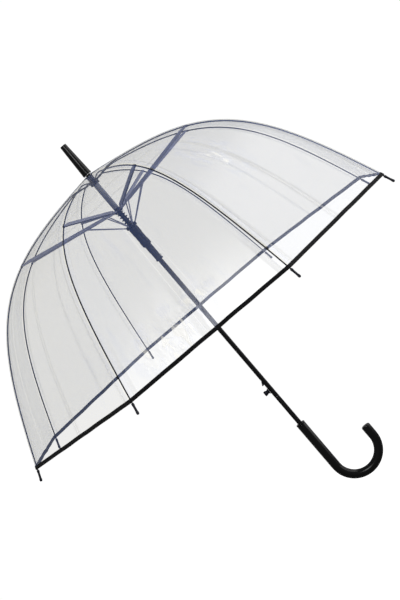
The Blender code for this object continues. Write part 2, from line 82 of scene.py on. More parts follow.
def bodyOf(nodeName):
    held = frame["record"]["behaviour"]["bodies"]
    return next(body for body in held if nodeName in held[body])


def slotOf(nodeName):
    return next(s["material_slot"] for s in frame["record"]["subparts"] if s["node"] == nodeName)


def zSpan(nodeName):
    low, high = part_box(nodeName)
    return low.z, high.z


print("frame loaded:", len(nodes), "nodes")


# Node trees

class Wire:
    # A socket of a shader, so that shader maths reads as an expression.
    def __init__(self, maker, socket):
        self.maker, self.socket = maker, socket

    def maths(self, operation, first, second):
        made = self.maker.node("ShaderNodeMath", {"operation": operation}, {0: first, 1: second})
        return Wire(self.maker, made.outputs[0])

    def __add__(self, other):
        return self.maths("ADD", self, other)

    def __rsub__(self, other):
        return self.maths("SUBTRACT", other, self)

    def __mul__(self, other):
        return self.maths("MULTIPLY", self, other)


class NodeMaker:
    # Adds nodes to a tree: settings first, then the values or links of the sockets.
    def __init__(self, tree):
        self.tree = tree
        self.tree.nodes.clear()

    def node(self, kind, settings=None, sockets=None):
        made = self.tree.nodes.new(kind)
        for name, value in (settings or {}).items():
            if name == "stops":
                self.setStops(made.color_ramp, value)
            else:
                setattr(made, name, value)
        for name, value in (sockets or {}).items():
            value = value.socket if isinstance(value, Wire) else value
            if isinstance(value, bpy.types.NodeSocket):
                self.tree.links.new(value, made.inputs[name])
            else:
                made.inputs[name].default_value = value
        return made

    def setStops(self, ramp, stops):
        while len(ramp.elements) < len(stops):
            ramp.elements.new(0.5)
        for element, (place, level) in zip(ramp.elements, stops):
            element.position = place
            element.color = (level, level, level, 1)


class Finish(NodeMaker):
    # A material while its nodes are laid out.
    def __init__(self, name):
        self.material = bpy.data.materials.new(name)
        self.material.use_nodes = True
        super().__init__(self.material.node_tree)
        self.place = self.node("ShaderNodeTexCoord").outputs["Object"]

    def noise(self, scale, detail=2.0, stretch=(1, 1, 1), place=None, twist=0.0):
        # Grey noise; scale counts features in a metre.
        spread = self.node("ShaderNodeMapping", {}, {"Vector": place or self.place, "Scale": stretch})
        made = self.node("ShaderNodeTexNoise", {}, {"Vector": spread.outputs[0], "Scale": scale,
                                                    "Detail": detail, "Distortion": twist})
        return Wire(self, made.outputs[0])

    def patch(self, place, reach, where):
        # 1 at a place of the UV map, fading to 0 at its reach.
        spread = self.node("ShaderNodeMapping", {"vector_type": "TEXTURE"},
                           {"Vector": where, "Location": (*place, 0), "Scale": (*reach, 1)})
        far = self.node("ShaderNodeVectorMath", {"operation": "LENGTH"}, {0: spread.outputs[0]})
        return self.levels(far.outputs["Value"], [(0.25, 1), (1.0, 0)])

    def levels(self, value, stops):
        made = self.node("ShaderNodeValToRGB", {"stops": stops}, {0: value})
        return Wire(self, made.outputs[0])

    def mixColour(self, share, first, second):
        made = self.node("ShaderNodeMix", {"data_type": "RGBA"}, {0: share, 6: (*first, 1), 7: (*second, 1)})
        return made.outputs[2]

    def bump(self, height, depth, strength=1.0):
        return self.node("ShaderNodeBump", {}, {"Height": height, "Distance": depth,
                                                "Strength": strength}).outputs[0]

    def done(self, shader):
        self.node("ShaderNodeOutputMaterial", {}, {"Surface": shader.outputs[0]})
        return self.material


# Finishes

glossBlack = {"dark": (0.001, 0.001, 0.0012), "light": (0.002, 0.002, 0.0024), "roughness": 0.20,
              "smudge": 0.10, "grain": 700, "depth": 0.000001, "shine": 0.16}
satinBlack = {"dark": (0.0015, 0.002, 0.006), "light": (0.003, 0.004, 0.011), "roughness": 0.42,
              "smudge": 0.14, "grain": 1400, "depth": 0.000003, "shine": 0.16}
smokeGrey = {"dark": (0.10, 0.11, 0.15), "light": (0.17, 0.18, 0.23), "roughness": 0.3,
             "smudge": 0.15, "grain": 900, "depth": 0.000004, "shine": 0.5}


def mouldedPlastic(name, recipe, alpha=1.0):
    finish = Finish(name)
    cloud = finish.noise(55, 4)
    grain = finish.noise(recipe["grain"], 1)
    smudge = finish.levels(finish.noise(22, 5), [(0.42, 0), (0.68, 1)])
    colour = finish.mixColour(cloud, recipe["dark"], recipe["light"])
    return finish.done(finish.node("ShaderNodeBsdfPrincipled", {}, {
        "Base Color": colour, "Roughness": smudge * recipe["smudge"] + recipe["roughness"],
        "Specular IOR Level": recipe["shine"], "Alpha": alpha,
        "Normal": finish.bump(grain, recipe["depth"])}))


enamel = {"dark": (0.001, 0.001, 0.0015), "light": (0.003, 0.003, 0.004), "metallic": 0.0,
          "roughness": 0.34, "speck": (0.03, 0.03, 0.036), "shine": 0.15}


def enamelledSteel(name, recipe):
    # Black enamel over steel: faint drawn lines, and specks where it is worn thin.
    finish = Finish(name)
    drawn = finish.noise(600, 2, (1, 1, 0.03))
    worn = finish.levels(finish.noise(420, 3), [(0.72, 0), (0.78, 1)])
    base = finish.mixColour(drawn, recipe["dark"], recipe["light"])
    shown = finish.node("ShaderNodeMix", {"data_type": "RGBA"},
                        {0: worn * 0.5, 6: base, 7: (*recipe["speck"], 1)}).outputs[2]
    return finish.done(finish.node("ShaderNodeBsdfPrincipled", {}, {
        "Base Color": shown, "Metallic": recipe["metallic"], "Specular IOR Level": recipe["shine"],
        "Roughness": finish.noise(90, 3) * 0.14 + recipe["roughness"],
        "Normal": finish.bump(drawn + worn * 0.5, 0.000003)}))


def bareSteel(name, dark, light, roughness):
    finish = Finish(name)
    drawn = finish.noise(900, 2, (1, 1, 0.08))
    return finish.done(finish.node("ShaderNodeBsdfPrincipled", {}, {
        "Base Color": finish.mixColour(drawn, dark, light), "Metallic": 1.0,
        "Roughness": finish.noise(140, 3) * 0.2 + roughness,
        "Normal": finish.bump(drawn, 0.000003)}))


# pale is the colour of the whitened creases and wrinkles: partly the film's own crease whitening, partly a painted
# glare highlight.
film = {"tint": (0.960, 0.955, 0.931), "haze": (0.09, 0.25, 0.90), "pale": (0.94, 0.94, 0.96),
        "hazeShare": 0.038, "creaseGlareShare": 0.03, "wrinkleGlareShare": 0.26, "roughness": 0.32,
        "mirror": 0.024, "grazing": 0.20, "touch": (0.0012, 0.0034), "depth": 0.0016,
        "ripples": (26, 5, 1), "rucks": (70, 26, 1), "creases": (38, 7, 1)}
# Where the film is rucked up and whitened, the white partly a painted glare highlight: metres across the panels
# and from the apex, and each place's reach.
ruckedPlaces = [
    {"place": (1.952, 0.548), "reach": (0.085, 0.060), "share": 1.0},
    {"place": (2.028, 0.520), "reach": (0.040, 0.020), "share": 0.5},
    {"place": (2.385, 0.330), "reach": (0.050, 0.110), "share": 0.5},
    {"place": (1.62, 0.150), "reach": (0.05, 0.09), "share": 0.5},
]


def clearFilm(name, recipe, weld=0.0):
    # Soft clear film with a thin haze, pale creases that are partly painted glare highlights, and a gloss;
    # clearest where it lies on a rib, which is painted shade: haze and gloss are taken away there.
    # One UV map holds metres across a panel and from the apex, the other metres from the rib.
    finish = Finish(name)
    onSheet = finish.node("ShaderNodeUVMap", {"uv_map": "sheet"}).outputs[0]
    fromRib = finish.node("ShaderNodeSeparateXYZ", {}, {
        0: finish.node("ShaderNodeUVMap", {"uv_map": "ribs"}).outputs[0]}).outputs[0]
    # Haze and gloss are cut where the film lies on a rib: painted shade for the light from behind that the rib
    # blocks.
    low, high = recipe["touch"]
    outsideRibShade = Wire(finish, finish.node("ShaderNodeMapRange", {}, {0: fromRib, 1: low, 2: high}).outputs[0])
    ripple = finish.noise(1, 3, recipe["ripples"], onSheet)
    ruck = finish.noise(1, 4, recipe["rucks"], onSheet, 0.8)
    creaseAndGlareStreaks = finish.levels(finish.noise(1, 6, recipe["creases"], onSheet), [(0.60, 0), (0.74, 1)])
    wrinkleAndGlareStreaks = finish.levels(ruck, [(0.50, 0), (0.62, 1)])
    rucked = 0.0
    for spot in ruckedPlaces:
        rucked = finish.patch(spot["place"], spot["reach"], onSheet) * spot["share"] + rucked
    # Pale streaks on the creases and rucked wrinkles: partly crease whitening, partly painted glare highlights.
    creaseWhiteAndGlare = creaseAndGlareStreaks * recipe["creaseGlareShare"] + rucked * wrinkleAndGlareStreaks * recipe["wrinkleGlareShare"]
    facing = Wire(finish, finish.node("ShaderNodeLayerWeight", {}, {0: 0.5}).outputs["Facing"])
    steep = facing * facing * facing * facing * facing
    haze = (creaseWhiteAndGlare + (recipe["hazeShare"] + weld)) * outsideRibShade
    paleCreaseAndGlare = finish.levels(creaseWhiteAndGlare, [(0.01, 0), (0.12, 1)])
    through = finish.node("ShaderNodeBsdfTransparent", {}, {"Color": (*recipe["tint"], 1)})
    milky = finish.node("ShaderNodeBsdfPrincipled", {}, {
        "Base Color": finish.mixColour(paleCreaseAndGlare, recipe["haze"], recipe["pale"]),
        "Roughness": 0.6, "Specular IOR Level": 0.0})
    gloss = finish.node("ShaderNodeBsdfAnisotropic", {}, {
        "Color": (1, 1, 1, 1), "Roughness": recipe["roughness"],
        "Normal": finish.bump(ripple + ruck * (rucked * 3.0 + 0.12), recipe["depth"])})
    veiled = finish.node("ShaderNodeMixShader", {}, {0: haze, 1: through.outputs[0], 2: milky.outputs[0]})
    mirrored = steep * recipe["grazing"] + outsideRibShade * recipe["mirror"]
    return finish.done(finish.node("ShaderNodeMixShader", {}, {
        0: mirrored, 1: veiled.outputs[0], 2: gloss.outputs[0]}))


binding = {"dark": (0.0015, 0.0015, 0.002), "light": (0.006, 0.006, 0.007), "pitch": 0.0007}


def wovenTape(name, recipe):
    # The UV map holds metres along and across the tape.
    finish = Finish(name)
    onTape = finish.node("ShaderNodeUVMap", {"uv_map": "sheet"}).outputs[0]
    threads = []
    for bands in ("X", "Y"):
        made = finish.node("ShaderNodeTexWave", {"bands_direction": bands},
                           {"Vector": onTape, "Scale": 0.314 / recipe["pitch"], "Distortion": 0.6})
        threads.append(Wire(finish, made.outputs["Fac"]))
    weave = threads[0] * threads[1]
    fluff = finish.noise(2500, 2)
    return finish.done(finish.node("ShaderNodeBsdfPrincipled", {}, {
        "Base Color": finish.mixColour(weave, recipe["dark"], recipe["light"]),
        "Roughness": 0.95 - weave * 0.2, "Sheen Weight": 0.03, "Specular IOR Level": 0.15,
        "Normal": finish.bump(weave + fluff * 0.3, 0.00025)}))


finishes = {
    "gloss_black": mouldedPlastic("glossy black plastic", glossBlack),
    "black_plastic": mouldedPlastic("satin black plastic", satinBlack),
    "smoked_sleeve": mouldedPlastic("smoked plastic", smokeGrey, alpha=0.72),
    "shaft_steel": enamelledSteel("shaft enamel", enamel),
    "rib_steel": enamelledSteel("rib enamel", {**enamel, "roughness": 0.36}),
    # The stretchers' blue-grey paint is lightened to stand in for the white surroundings they reflect: partly
    # paint colour, partly painted reflection.
    "painted_channel": enamelledSteel("channel enamel", {
        **enamel, "dark": (0.12, 0.13, 0.20), "light": (0.20, 0.21, 0.30), "shine": 0.5}),
    "spring_steel": bareSteel("blackened spring wire", (0.02, 0.02, 0.024), (0.07, 0.07, 0.08), 0.32),
    "bright_steel": bareSteel("plated steel", (0.50, 0.51, 0.53), (0.68, 0.69, 0.71), 0.18),
    "clear_film": clearFilm("clear film", film),
    "black_binding": wovenTape("black woven tape", binding),
}
tapeLining = wovenTape("tape, inner face", {
    **binding, "dark": (0.030, 0.034, 0.05), "light": (0.07, 0.08, 0.11)})
weldedFilm = clearFilm("clear film, welded over a rib", film, weld=0.012)
thread = mouldedPlastic("black thread", {**satinBlack, "roughness": 0.6, "grain": 3000})
for nodeName, node in nodes.items():
    node.data.materials.clear()
    node.data.materials.append(finishes[slotOf(nodeName)])
print("finishes:", len(finishes))


# Camera, light and floor

view = {"around": 2.336, "above": 3.0619, "roll": -40.5237, "distance": 2.579, "lens": 83.8,
        "toRight": 0.2534, "toTop": -0.2849}


def placeCamera():
    around, above, roll = (math.radians(view[key]) for key in ("around", "above", "roll"))
    back = Vector((math.sin(around) * math.cos(above), -math.cos(around) * math.cos(above), math.sin(above)))
    right = Vector((math.cos(around), math.sin(around), 0))
    up = back.cross(right)
    leanRight = right * math.cos(roll) + up * math.sin(roll)
    leanUp = up * math.cos(roll) - right * math.sin(roll)
    tip = Vector((0, 0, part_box("ferrule")[1].z))
    camera = bpy.data.objects.new("camera", bpy.data.cameras.new("camera"))
    camera.data.lens = view["lens"]
    turn = Matrix((leanRight, leanUp, back)).transposed().to_4x4()
    camera.matrix_world = Matrix.Translation(
        tip + back * view["distance"] + leanRight * view["toRight"] + leanUp * view["toTop"]) @ turn
    bpy.context.scene.collection.objects.link(camera)
    bpy.context.scene.camera = camera
    return leanRight, leanUp, back


pictureRight, pictureUp, towardsCamera = placeCamera()
domeCentre = Vector((0, 0, 0.45))
# Places are right, up and towards the camera from the dome's centre.
lamps = {
    "key": {"at": (1.5, 2.1, 0.2), "size": 3.0, "watts": 78},
    "fill": {"at": (-0.6, 0.8, 2.5), "size": 0.8, "watts": 30},
    "strip": {"at": (1.9, -0.9, 1.2), "size": 0.8, "watts": 30},
}


def softLight(name, recipe):
    lamp = bpy.data.objects.new(name, bpy.data.lights.new(name, "AREA"))
    lamp.data.size, lamp.data.energy = recipe["size"], recipe["watts"]
    right, up, towards = recipe["at"]
    lamp.location = domeCentre + pictureRight * right + pictureUp * up + towardsCamera * towards
    lamp.rotation_euler = (domeCentre - lamp.location).to_track_quat("-Z", "Y").to_euler()
    bpy.context.scene.collection.objects.link(lamp)


def lightTheStudio():
    for name, recipe in lamps.items():
        softLight(name, recipe)
    world = bpy.data.worlds.new("studio")
    world.use_nodes = True
    maker = NodeMaker(world.node_tree)
    seen = Wire(maker, maker.node("ShaderNodeLightPath").outputs["Is Camera Ray"])
    sky = maker.node("ShaderNodeBackground", {}, {"Color": (1, 1, 1, 1), "Strength": seen * 0.60 + 0.42})
    maker.node("ShaderNodeOutputWorld", {}, {"Surface": sky.outputs[0]})
    bpy.context.scene.world = world
    bpy.context.scene.view_settings.view_transform = "Standard"


studioFloor = {"drop": 0.3, "radius": 1.7, "glow": 0.94,
               "dark": (0.28, 0.28, 0.28), "light": (0.31, 0.31, 0.31)}


def layFloor():
    bm = bmesh.new()
    bmesh.ops.create_circle(bm, cap_ends=True, segments=96, radius=studioFloor["radius"])
    mesh = bpy.data.meshes.new("studio floor")
    bm.to_mesh(mesh)
    bm.free()
    mesh.transform(Matrix.Translation((0, 0, cadLow.z - studioFloor["drop"])))
    finish = Finish("pale floor")
    seen = Wire(finish, finish.node("ShaderNodeLightPath").outputs["Is Camera Ray"])
    colour = finish.mixColour(finish.noise(3, 3), studioFloor["dark"], studioFloor["light"])
    mesh.materials.append(finish.done(finish.node("ShaderNodeBsdfPrincipled", {}, {
        "Base Color": colour, "Roughness": 0.9,
        "Emission Color": (1, 1, 1, 1), "Emission Strength": seen * studioFloor["glow"]})))
    floor = bpy.data.objects.new("floor", mesh)
    bpy.context.scene.collection.objects.link(floor)


lightTheStudio()
layFloor()
print("camera, light and floor")


# Shape helpers

def addPiece(name, mesh, finish=None, smoothAngle=35):
    if finish:
        mesh.materials.clear()
        mesh.materials.append(finish)
    mesh.shade_smooth()
    mesh.set_sharp_from_angle(angle=math.radians(smoothAngle))
    thing = bpy.data.objects.new(name, mesh)
    bpy.context.scene.collection.objects.link(thing)
    return thing


def evaluated(thing):
    # The object's shape with its modifiers, as a plain mesh.
    graph = bpy.context.evaluated_depsgraph_get()
    mesh = bpy.data.meshes.new_from_object(thing.evaluated_get(graph), depsgraph=graph)
    thing.modifiers.clear()
    thing.data = mesh
    return thing


def asMesh(bm, merge=1e-7):
    bmesh.ops.remove_doubles(bm, verts=bm.verts, dist=merge)
    bmesh.ops.recalc_face_normals(bm, faces=bm.faces)
    mesh = bpy.data.meshes.new("shape")
    bm.to_mesh(mesh)
    bm.free()
    return mesh


def turnedMesh(profile, steps=56, closed=False):
    # Turns (radius, height) points about Z.
    bm = bmesh.new()
    points = [bm.verts.new((radius, 0, height)) for radius, height in profile]
    edges = [bm.edges.new(pair) for pair in zip(points, points[1:])]
    if closed:
        edges.append(bm.edges.new((points[-1], points[0])))
    bmesh.ops.spin(bm, geom=points + edges, cent=(0, 0, 0), axis=(0, 0, 1), angle=math.tau,
                   steps=steps, use_duplicate=False)
    return asMesh(bm, 1e-6)


def lineMesh(points):
    mesh = bpy.data.meshes.new("path")
    mesh.from_pydata([tuple(p) for p in points], [(i, i + 1) for i in range(len(points) - 1)], [])
    return mesh


def easedCopy(nodeName, width, segments=2):
    # A copy of a frame node with its triangles merged and its sharp edges eased.
    bm = bmesh.new()
    bm.from_mesh(nodes[nodeName].data)
    bmesh.ops.remove_doubles(bm, verts=bm.verts, dist=1e-6)
    bmesh.ops.dissolve_limit(bm, angle_limit=math.radians(1), verts=bm.verts, edges=bm.edges)
    mesh = bpy.data.meshes.new(nodeName)
    bm.to_mesh(mesh)
    bm.free()
    thing = addPiece(nodeName + "_shape", mesh)
    ease = thing.modifiers.new("ease", "BEVEL")
    ease.width, ease.segments, ease.limit_method = width, segments, "ANGLE"
    ease.angle_limit = math.radians(38)
    evaluated(thing)
    shape = thing.data
    bpy.data.objects.remove(thing)
    return shape


def finished(thing, body, replaced, slotName):
    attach(thing, body)
    if replaced:
        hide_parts(*replaced)
    return thing


def softened(profile, cut, steps=3):
    # A closed profile with its corners rounded off, except on the axis.
    points = []
    for i, corner in enumerate(profile):
        here = Vector(corner)
        if here.x < 1e-6:
            points.append(tuple(here))
            continue
        sides = []
        for other in (Vector(profile[i - 1]), Vector(profile[(i + 1) % len(profile)])):
            edge = other - here
            sides.append(here + edge.normalized() * min(cut, edge.length * 0.45))
        for k in range(steps + 1):
            t = k / steps
            points.append(tuple(sides[0].lerp(here, t).lerp(here.lerp(sides[1], t), t)))
    return points


def placed(mesh, place=(0, 0, 0), turn=(0, 0, 0)):
    mesh.transform(Matrix.LocRotScale(Vector(place), Euler(turn), None))
    return mesh


# Geometry node trees

class Graph(NodeMaker):
    # A geometry tree with named inputs.
    def __init__(self, name, sizes):
        super().__init__(bpy.data.node_groups.new(name, "GeometryNodeTree"))
        face = self.tree.interface
        face.new_socket("Geometry", in_out="OUTPUT", socket_type="NodeSocketGeometry")
        face.new_socket("Path", in_out="INPUT", socket_type="NodeSocketGeometry")
        for label, kind in sizes.items():
            face.new_socket(label, in_out="INPUT", socket_type="NodeSocket" + kind)
        self.given = self.node("NodeGroupInput").outputs
        self.tree.is_modifier = True

    def end(self, geometry):
        coloured = self.node("GeometryNodeSetMaterial", {}, {
            "Geometry": geometry, "Material": self.given["Finish"]})
        self.node("NodeGroupOutput", {}, {"Geometry": coloured.outputs[0]})
        return self.tree


def tubeTree():
    # A capped tube along a path.
    g = Graph("tube along a path", {"Radius": "Float", "Sides": "Int", "Step": "Float",
                                    "Finish": "Material"})
    curve = g.node("GeometryNodeMeshToCurve", {}, {"Mesh": g.given["Path"]})
    even = g.node("GeometryNodeResampleCurve", {"mode": "LENGTH"},
                  {"Curve": curve.outputs[0], "Length": g.given["Step"]})
    ring = g.node("GeometryNodeCurvePrimitiveCircle", {},
                  {"Resolution": g.given["Sides"], "Radius": g.given["Radius"]})
    tube = g.node("GeometryNodeCurveToMesh", {}, {
        "Curve": even.outputs[0], "Profile Curve": ring.outputs[0], "Fill Caps": True})
    real = g.node("GeometryNodeRealizeInstances", {}, {"Geometry": tube.outputs[0]})
    return g.end(real.outputs[0])


def stitchTree():
    # Short lengths of thread laid end to end along a path.
    g = Graph("stitches along a path", {"Pitch": "Float", "Length": "Float", "Thickness": "Float",
                                        "Finish": "Material"})
    curve = g.node("GeometryNodeMeshToCurve", {}, {"Mesh": g.given["Path"]})
    even = g.node("GeometryNodeResampleCurve", {"mode": "LENGTH"},
                  {"Curve": curve.outputs[0], "Length": g.given["Pitch"]})
    stitch = g.node("GeometryNodeMeshUVSphere", {}, {"Segments": 6, "Rings": 4, "Radius": 0.5})
    heading = g.node("FunctionNodeAlignRotationToVector", {"axis": "Z"},
                     {"Vector": g.node("GeometryNodeInputTangent").outputs[0]})
    size = g.node("ShaderNodeCombineXYZ", {}, {
        "X": g.given["Thickness"], "Y": g.given["Thickness"], "Z": g.given["Length"]})
    laid = g.node("GeometryNodeInstanceOnPoints", {}, {
        "Points": even.outputs[0], "Instance": stitch.outputs[0],
        "Rotation": heading.outputs[0], "Scale": size.outputs[0]})
    real = g.node("GeometryNodeRealizeInstances", {}, {"Geometry": laid.outputs[0]})
    return g.end(real.outputs[0])


trees = {"tube": tubeTree(), "stitches": stitchTree()}


def grown(treeName, points, values):
    # Runs a tree on a path and returns the plain mesh.
    thing = bpy.data.objects.new("grown", lineMesh(points))
    bpy.context.scene.collection.objects.link(thing)
    growth = thing.modifiers.new("growth", "NODES")
    growth.node_group = trees[treeName]
    for socket in growth.node_group.interface.items_tree:
        if socket.in_out == "INPUT" and socket.name in values:
            growth[socket.identifier] = values[socket.name]
    mesh = evaluated(thing).data
    bpy.data.objects.remove(thing)
    return mesh


def tube(points, radius, finish, sides=16, step=0.004):
    return grown("tube", points, {"Radius": radius, "Sides": sides, "Step": step, "Finish": finish})


def joined(meshes):
    # One mesh from several, keeping their finishes and UV maps.
    bm = bmesh.new()
    kinds = []
    for mesh in meshes:
        start = len(bm.faces)
        bm.from_mesh(mesh)
        bm.faces.ensure_lookup_table()
        for face in bm.faces[start:]:
            material = mesh.materials[face.material_index]
            if material not in kinds:
                kinds.append(material)
            face.material_index = kinds.index(material)
    whole = bpy.data.meshes.new("joined")
    bm.to_mesh(whole)
    bm.free()
    for material in kinds:
        whole.materials.append(material)
    return whole


# The dome's curve, as in the frame: its slope turns smoothly from nearly level to steep.
dome = {"startSlope": 6.0, "turn": 61.6, "bendArc": 0.275, "bendSpread": 0.152, "rimArc": 0.588,
        "holeRadius": 0.0055, "holeDrop": 0.0017, "apexZ": 0.661, "step": 0.001, "ribBelow": 0.0026}


def traceDome():
    radius, height = dome["holeRadius"], dome["apexZ"] - dome["holeDrop"]
    rows = []
    for i in range(round(dome["rimArc"] / dome["step"]) + 4):
        bend = math.tanh((i * dome["step"] - dome["bendArc"]) / dome["bendSpread"])
        slope = math.radians(dome["startSlope"] + dome["turn"] * 0.5 * (1 + bend))
        rows.append((radius, height, slope))
        radius += dome["step"] * math.cos(slope)
        height -= dome["step"] * math.sin(slope)
    return np.array(rows)


domeRows = traceDome()
domeArcs = np.arange(len(domeRows)) * dome["step"]


def onDome(arc, outward=0.0):
    # (radius, height, slope) at an arc length from the apex, over a rib.
    radius, height, slope = (float(np.interp(arc, domeArcs, domeRows[:, k])) for k in range(3))
    return radius + outward * math.sin(slope), height + outward * math.cos(slope), slope


def turnedToRib(points, angle):
    # Points in a rib's own plane, x outwards and y along the hem, turned to where that rib is.
    cosine, sine = math.cos(angle), math.sin(angle)
    return [Vector((cosine * x - sine * y, sine * x + cosine * y, z)) for x, y, z in points]


def jointAt(name):
    joint = next(j for j in frame["joints"] if j["name"] == name)
    return Vector(joint["pos_m"])


foldPin = jointAt("rib_bend_1")
foldRadius, foldHeight = math.hypot(foldPin.x, foldPin.y), foldPin.z
foldArc = next(arc for arc in domeArcs if onDome(arc, -dome["ribBelow"])[0] >= foldRadius)
notchPin = jointAt("rib_fold_1")
notchRadius, notchHeight = math.hypot(notchPin.x, notchPin.y), notchPin.z
print("fold at arc", round(float(foldArc), 4))


# The film. Each rib carries a welded seam strip and half a panel on each side of it.
canopy = {"thickness": 0.00022, "lift": 0.00012, "seamHalf": 0.010, "crownArc": 0.0245, "bulge": 0.016,
          "ripple": 0.0011, "hemRipple": 0.0006, "rowStep": 0.007, "halfColumns": 14, "seamColumns": 8,
          "crownColumns": 10, "upperKeep": 0.22, "lowerKeep": 0.10, "ribSoftness": 0.0012,
          "cutMargin": 0.0005, "bendReach": 0.014, "crownBend": [(0.009, 0, 0.659), (0.0255, 0, 0.6575)]}
slant = math.tan(halfPanel)
toMiddle = math.sin(halfPanel) * math.cos(halfPanel)  # from a rib's plane to a panel's middle, per radius


def billow(arc, across, panel):
    # How far the film stands off its taut line; across goes from 0 at one rib to 1 at the next.
    radius = onDome(arc)[0]
    width = 2 * radius * math.sin(halfPanel)
    middle = 4 * across * (1 - across)
    free = max(0.0, 1 - (arc / dome["rimArc"]) ** 3)
    swell = canopy["bulge"] * width * middle * free
    metres = across * width
    ripple = noise.noise(Vector((metres * 17, arc * 4.2, panel * 5.3)))
    ripple += 0.5 * noise.noise(Vector((metres * 45, arc * 9, panel * 3.1 + 40)))
    nearHem = math.exp(-(dome["rimArc"] - arc) / 0.05)
    pucker = math.sin(across * math.tau * 4.5 + panel * 1.7) * nearHem * canopy["hemRipple"]
    nearApex = math.exp(-arc / 0.09)
    gather = math.sin(across * math.tau * 3 + panel) * nearApex * 0.0008
    return swell + middle * (ripple * canopy["ripple"] + pucker + gather)


def filmPoint(rib, arc, aside, outward=0.0):
    # A point of the film in a rib's own plane, at a distance aside from it; also its sheet place.
    radius, height, slope = onDome(arc, canopy["lift"] + outward)
    trueRadius = onDome(arc)[0]
    side = 1 if aside >= 0 else -1
    reach = min(abs(aside) / max(toMiddle * trueRadius, 1e-6), 1.0) * 0.5
    panel = rib if side > 0 else (rib - 1) % ribCount
    across = reach if side > 0 else 1 - reach
    off = billow(arc, across, panel)
    soft = canopy["ribSoftness"]
    dip = math.sqrt(aside * aside + soft * soft) - soft
    tilt = math.sin(slope) * off
    x = radius - dip * slant + tilt * math.cos(halfPanel)
    y = aside + side * tilt * math.sin(halfPanel)
    z = height + math.cos(slope) * off
    width = 2 * trueRadius * math.sin(halfPanel)
    return Vector((x, y, z)), (panel * 0.4 + across * width - width / 2, arc)


def sheetMesh(rib, arcs, asides, finish):
    # A grid over the film. asides gives the distances from the rib at an arc.
    grid, places, fromRib = [], [], []
    for arc in arcs:
        for aside in asides(arc):
            point, place = filmPoint(rib, arc, aside)
            grid.append(point)
            places.append(place)
            fromRib.append(abs(aside))
    columns = len(places) // len(arcs)
    faces = []
    for row in range(len(arcs) - 1):
        for column in range(columns - 1):
            a = row * columns + column
            faces.append((a, a + columns, a + columns + 1, a + 1))
    mesh = bpy.data.meshes.new("sheet")
    mesh.from_pydata([tuple(p) for p in turnedToRib(grid, ribAngles[rib])], [], faces)
    onSheet, besideRib = mesh.uv_layers.new(name="sheet"), mesh.uv_layers.new(name="ribs")
    for loop in mesh.loops:
        onSheet.data[loop.index].uv = places[loop.vertex_index]
        besideRib.data[loop.index].uv = (fromRib[loop.vertex_index], 0)
    mesh.materials.append(finish)
    return mesh


def thickened(name, mesh, thickness):
    thing = addPiece(name, mesh, smoothAngle=60)
    wall = thing.modifiers.new("wall", "SOLIDIFY")
    wall.thickness, wall.offset = thickness, 0.0
    return evaluated(thing)


def arcsBetween(low, high):
    count = max(2, round((high - low) / canopy["rowStep"]))
    return [low + (high - low) * i / count for i in range(count + 1)]


def spacedAsides(low, high, count):
    return [low + (high - low) * i / count for i in range(count + 1)]


def seamHalf(arc):
    return min(canopy["seamHalf"], toMiddle * onDome(arc)[0])


def halfPanelAsides(side):
    def asides(arc):
        inner, outer = seamHalf(arc), toMiddle * onDome(arc)[0]
        row = spacedAsides(inner, max(outer, inner + 1e-5), canopy["halfColumns"])
        return row if side > 0 else [-y for y in reversed(row)]
    return asides


def seamAsides(arc):
    return spacedAsides(-seamHalf(arc), seamHalf(arc), canopy["seamColumns"])


def crownAsides(arc):
    half = toMiddle * onDome(arc)[0]
    return spacedAsides(-half, half, canopy["crownColumns"])


def declareSheet(arcs, asides):
    # Works out the size of the rectangle that a film piece was cut from; nothing uses it.
    rows = [asides(arc) for arc in arcs]
    wide = round(max(row[-1] - row[0] for row in rows) / math.cos(halfPanel) + canopy["cutMargin"], 4)
    long = round(arcs[-1] - arcs[0] + canopy["cutMargin"], 4)


def bendPoints(rib):
    # Before and after the fold, along the rib.
    ends = []
    for shift in (-canopy["bendReach"], canopy["bendReach"]):
        radius, height, _ = onDome(foldArc + shift, -dome["ribBelow"])
        ends.append(turnedToRib([(radius, 0, height)], ribAngles[rib])[0])
    return ends


filmEndArc = dome["rimArc"] - 0.0012


def makeCanopy():
    for rib in range(ribCount):
        label = str(rib + 1)
        upper, lower = "upper_rib_" + label, "lower_rib_" + label
        angle = ribAngles[rib]
        arcs = arcsBetween(0.0, canopy["crownArc"])
        crown = sheetMesh(rib, arcs, crownAsides, finishes["clear_film"])
        thing = thickened("film_crown_" + label, crown.copy(), canopy["thickness"])
        start, end = turnedToRib(canopy["crownBend"], angle)
        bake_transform(thing)
        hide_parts("canopy_film")
        declareSheet(arcs, crownAsides)

        arcs = arcsBetween(canopy["crownArc"], filmEndArc)
        seam = sheetMesh(rib, arcs, seamAsides, weldedFilm)
        thing = thickened("film_seam_" + label, seam.copy(), canopy["thickness"])
        start, end = bendPoints(rib)
        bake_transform(thing)
        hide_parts("canopy_film")
        declareSheet(arcs, seamAsides)

        for side, word in ((1, "left"), (-1, "right")):
            for body, low, high in ((upper, canopy["crownArc"], foldArc), (lower, foldArc, filmEndArc)):
                arcs = arcsBetween(low, high)
                panel = sheetMesh(rib, arcs, halfPanelAsides(side), finishes["clear_film"])
                level = "upper" if body == upper else "lower"
                pieceName = "film_" + level + "_" + word + "_" + label
                thing = thickened(pieceName, panel.copy(), canopy["thickness"])
                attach(thing, body)
                canopy[level + "Keep"]
                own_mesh(thing)
                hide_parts("canopy_film")
                declareSheet(arcs, halfPanelAsides(side))


# The binding, a tape folded over the film's edge and stitched through.
tape = {"width": 0.0072, "thickness": 0.0013, "wall": 0.0004, "flatWidth": 0.0152, "columns": 10,
        "stitchInset": 0.0048, "pitch": 0.0030, "stitchLength": 0.0023, "stitchThickness": 0.0005}


